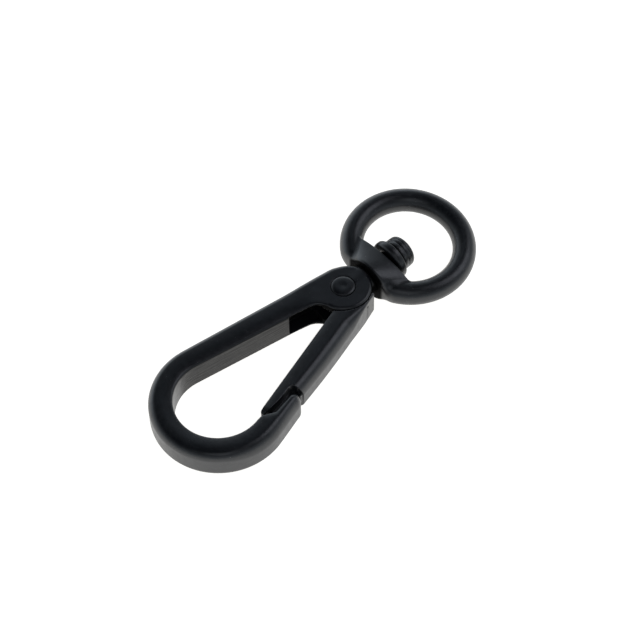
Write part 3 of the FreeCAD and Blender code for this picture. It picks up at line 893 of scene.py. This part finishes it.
def joint_shade(t):
    """Painted shade on the hook's neck beside the swivel's gap, and on the walls beside the gate's pivot.
    """
    here = t.place()
    place = t.split(here)
    neck = t.ramp(place["X"], *NECK_END)
    reach = t.node("VectorMath", operation="DISTANCE")
    t.links.new(here, reach.inputs[0])
    reach.inputs[1].default_value = (PIVOT[0], PIVOT[1], 0)
    wall = t.ramp(t.math("ABSOLUTE", t.split(t.normal())["Z"]), *UPRIGHT)
    wall = t.times(wall, t.ramp(place["Y"], *GATE_SIDE))
    return t.math("MAXIMUM", neck, t.times(wall, t.ramp(reach.outputs["Value"], *ROUND_BOSS)))


def spring_steel(name):
    """Drawn spring wire: fine lines round the wire, darkened by oil."""
    t = Tree(name)
    lines = t.noise(t.place(stretch=(1.0, 1.0, WIRE_LINE_STRETCH)), WIRE_LINE_SIZE)
    oil = t.noise(t.place(shift=5.0), OIL_SIZE)
    t.feed(t.shader.inputs["Base Color"], t.blend(t.ramp(oil, *OILED), STEEL, OILED_STEEL))
    t.feed(t.shader.inputs["Roughness"], t.ramp(lines, *ON_WIRE, *STEEL_ROUGHNESS))
    t.shader.inputs["Metallic"].default_value = 1.0
    t.bump(lines, WIRE_BUMP_STRENGTH, WIRE_LINE_HEIGHT)
    return t.material


# ---- the pieces --------------------------------------------------------------------------------

def finish_piece(piece, body, node, material):
    piece.data.materials.clear()
    piece.data.materials.append(material)
    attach(piece, body)
    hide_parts(node)


hook = cast_piece("hook_casting", hook_body, *HOOK_BOX)
# the hook's coat gets painted shade at its neck and beside the gate's pivot
hook_coating = coating("body_black", 11.0, wall_marks=filed_wall, shade_mask=joint_shade)
finish_piece(hook, "hook", "hook_body", hook_coating)

gate_piece = cast_piece("gate_casting", gate, *GATE_BOX)
finish_piece(gate_piece, "gate", "gate", coating("gate_black", 37.0))

eye = cast_piece("eye_casting", swivel_eye, *EYE_BOX)
# the eye's coat gets painted shade on the hub's front face
finish_piece(eye, "eye", "swivel_eye", coating("eye_black", 59.0, shade_mask=hub_gap_shade))

seat = HALF_T - SPOT_FACE_DEPTH
half_rivet = [np.array((seat, RIVET_R)), np.array((seat, RIVET_HEAD_R))]
for share in np.sin(np.linspace(math.pi / 2, 0, DOME_STEPS)):
    radius = RIVET_HEAD_R * share
    dome = RIVET_HEAD_RISE * math.sqrt(1 - share ** 3)
    dimple = RIVET_DIMPLE_DEPTH * math.exp(-(radius / RIVET_DIMPLE_R) ** 2)
    half_rivet.append(np.array((HALF_T + dome - dimple, radius)))
low_rivet = [np.array((-along, radius)) for along, radius in half_rivet[::-1]]
rivet = lathe("gate_rivet_piece", low_rivet + half_rivet, round_pivot)
finish_piece(rivet, "hook", "gate_rivet", coating("rivet_black", 71.0, 0.8))

washer = lathe("washer_piece", rounded_profile([
    (WASHER_BACK_X, STUD_R, 0),
    (WASHER_FRONT_X, STUD_R, 0),
    (WASHER_FRONT_X, WASHER_R, WASHER_EDGE_R),
    (WASHER_BACK_X, WASHER_R, 2 * WASHER_EDGE_R),
]), round_x)
finish_piece(washer, "hook", "stud_washer", coating("washer_black", 83.0))

waist_end = WASHER_FRONT_X + STUD_WAIST_LENGTH
stud_profile = [
    (STUD_ROOT_X, 0, 0),
    (STUD_ROOT_X, STUD_R, STUD_ROOT_EDGE_R),
    (WASHER_FRONT_X, STUD_R, 0),
    (WASHER_FRONT_X, STUD_WAIST_R, 0),
    (waist_end, STUD_WAIST_R, STUD_WAIST_EDGE_R),
    (waist_end, STUD_HEAD_R, STUD_STEP_R),
]
for start, bottom, end, start_in, end_in, rounding in STUD_GROOVES:
    stud_profile.append((start, STUD_HEAD_R - start_in, 0))
    stud_profile.append((bottom, STUD_HEAD_R - STUD_GROOVE_DEPTH, rounding))
    stud_profile.append((end, STUD_HEAD_R - end_in, 0))
stud_profile += [
    (STUD_HEAD_FRONT_X, STUD_HEAD_R - STUD_FRONT_IN, STUD_HEAD_EDGE_R),
    (STUD_HEAD_FRONT_X, 0, 0),
]
stud = lathe("stud_piece", rounded_profile(stud_profile), round_x)
finish_piece(stud, "hook", "swivel_stud", coating("stud_black", 97.0, 1.5))

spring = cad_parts["gate_spring"]
for surface in spring.material_slots:
    surface.material = spring_steel("spring_wire_steel")

# ---- floor, light and camera, in metres --------------------------------------------------------

FLOOR_HALF = 1.5
FLOOR_GAP = 0.00002
PAPER_GLOW = 0.97
floor_z = cad_box[0].z - FLOOR_GAP
floor_mesh = bpy.data.meshes.new("floor")
floor_corners = [(side_x * FLOOR_HALF, side_y * FLOOR_HALF, floor_z)
                 for side_x, side_y in ((-1, -1), (1, -1), (1, 1), (-1, 1))]
floor_mesh.from_pydata(floor_corners, [], [(0, 1, 2, 3)])
floor = bpy.data.objects.new("floor", floor_mesh)
bpy.context.scene.collection.objects.link(floor)
paper = Tree("white_paper")
paper.shader.inputs["Base Color"].default_value = (0.93, 0.93, 0.93, 1)
paper.shader.inputs["Roughness"].default_value = 0.9
paper.shader.inputs["Specular IOR Level"].default_value = 0.1
paper.shader.inputs["Emission Color"].default_value = (1.0, 0.985, 0.95, 1)
paper.shader.inputs["Emission Strength"].default_value = PAPER_GLOW
floor_mesh.materials.append(paper.material)

CAMERA_PLACE = (-190.476, -179.359, 335.252)  # in millimetres
CAMERA_RIGHT = (0.72386, -0.68981, -0.01349)
CAMERA_DOWN = (-0.56509, -0.58154, -0.58523)
CAMERA_AHEAD = (0.39586, 0.43124, -0.81076)
SENSOR_WIDTH = 36.0
LENS_LENGTH = 112.5
CLIP_DISTANCES = (0.01, 20.0)

lens = bpy.data.cameras.new("camera")
lens.sensor_width = SENSOR_WIDTH
lens.lens = LENS_LENGTH
lens.clip_start, lens.clip_end = CLIP_DISTANCES
camera = bpy.data.objects.new("camera", lens)
bpy.context.scene.collection.objects.link(camera)
turn = Matrix((CAMERA_RIGHT, [-c for c in CAMERA_DOWN], [-c for c in CAMERA_AHEAD])).transposed()
camera.matrix_world = Matrix.Translation([c * MM for c in CAMERA_PLACE]) @ turn.to_4x4()
bpy.context.scene.camera = camera


LIGHT_AIM = (-0.03, 0.0, 0.0)


def soft_light(name, place, size, power, colour):
    lamp = bpy.data.lights.new(name, "AREA")
    lamp.shape = "SQUARE"
    lamp.size = size
    lamp.color = colour
    lamp.energy = power
    made = bpy.data.objects.new(name, lamp)
    bpy.context.scene.collection.objects.link(made)
    back = np.array(place) - np.array(LIGHT_AIM)
    back = back / np.linalg.norm(back)
    side = np.cross((0.0, 1.0, 0.0), back)
    side = side / np.linalg.norm(side)
    up = np.cross(back, side)
    made.matrix_world = Matrix.Translation(place) @ Matrix((side, up, back)).transposed().to_4x4()


soft_light("right_side", (0.86, -0.46, 1.14), size=0.95, power=3.6, colour=(0.86, 0.89, 1.0))
soft_light("behind_camera", (-0.48, -0.52, 0.97), size=0.6, power=0.8, colour=(0.86, 0.92, 1.0))
soft_light("far_side", (0.42, 0.47, 0.80), size=0.25, power=0.08, colour=(0.72, 0.84, 1.0))

SKY_FADE = (0.05, 0.80, 1.5, 0.010)  # heights between which the sky dims, and its two strengths
SKY_BRIGHT_SIDE = (0.30, 0.95, 0.0)
SKY_SIDE_FADE = (0.45, 0.85, 0.4, 1.0)  # away from the bright side the sky is dimmer
SKY_COLOUR = (0.82, 0.91, 1.0, 1)
world = bpy.data.worlds.new("studio")
world.use_nodes = True
sky_nodes, sky_links = world.node_tree.nodes, world.node_tree.links
sky = sky_nodes["Background"]
sky.inputs["Color"].default_value = SKY_COLOUR
sky_place = sky_nodes.new("ShaderNodeTexCoord").outputs["Generated"]
sky_split = sky_nodes.new("ShaderNodeSeparateXYZ")
sky_fade = sky_nodes.new("ShaderNodeMapRange")
sky_fade.interpolation_type = "SMOOTHSTEP"
sky_side = sky_nodes.new("ShaderNodeVectorMath")
sky_side.operation = "DOT_PRODUCT"
sky_side.inputs[1].default_value = SKY_BRIGHT_SIDE
sky_side_fade = sky_nodes.new("ShaderNodeMapRange")
for fade, settings in ((sky_fade, SKY_FADE), (sky_side_fade, SKY_SIDE_FADE)):
    for socket, setting in zip(fade.inputs[1:], settings):
        socket.default_value = setting
sky_strength = sky_nodes.new("ShaderNodeMath")
sky_strength.operation = "MULTIPLY"
sky_links.new(sky_place, sky_split.inputs[0])
sky_links.new(sky_split.outputs["Z"], sky_fade.inputs["Value"])
sky_links.new(sky_place, sky_side.inputs[0])
sky_links.new(sky_side.outputs["Value"], sky_side_fade.inputs["Value"])
sky_links.new(sky_fade.outputs["Result"], sky_strength.inputs[0])
sky_links.new(sky_side_fade.outputs["Result"], sky_strength.inputs[1])
sky_links.new(sky_strength.outputs[0], sky.inputs["Strength"])
bpy.context.scene.world = world
bpy.context.scene.view_settings.view_transform = "Standard"
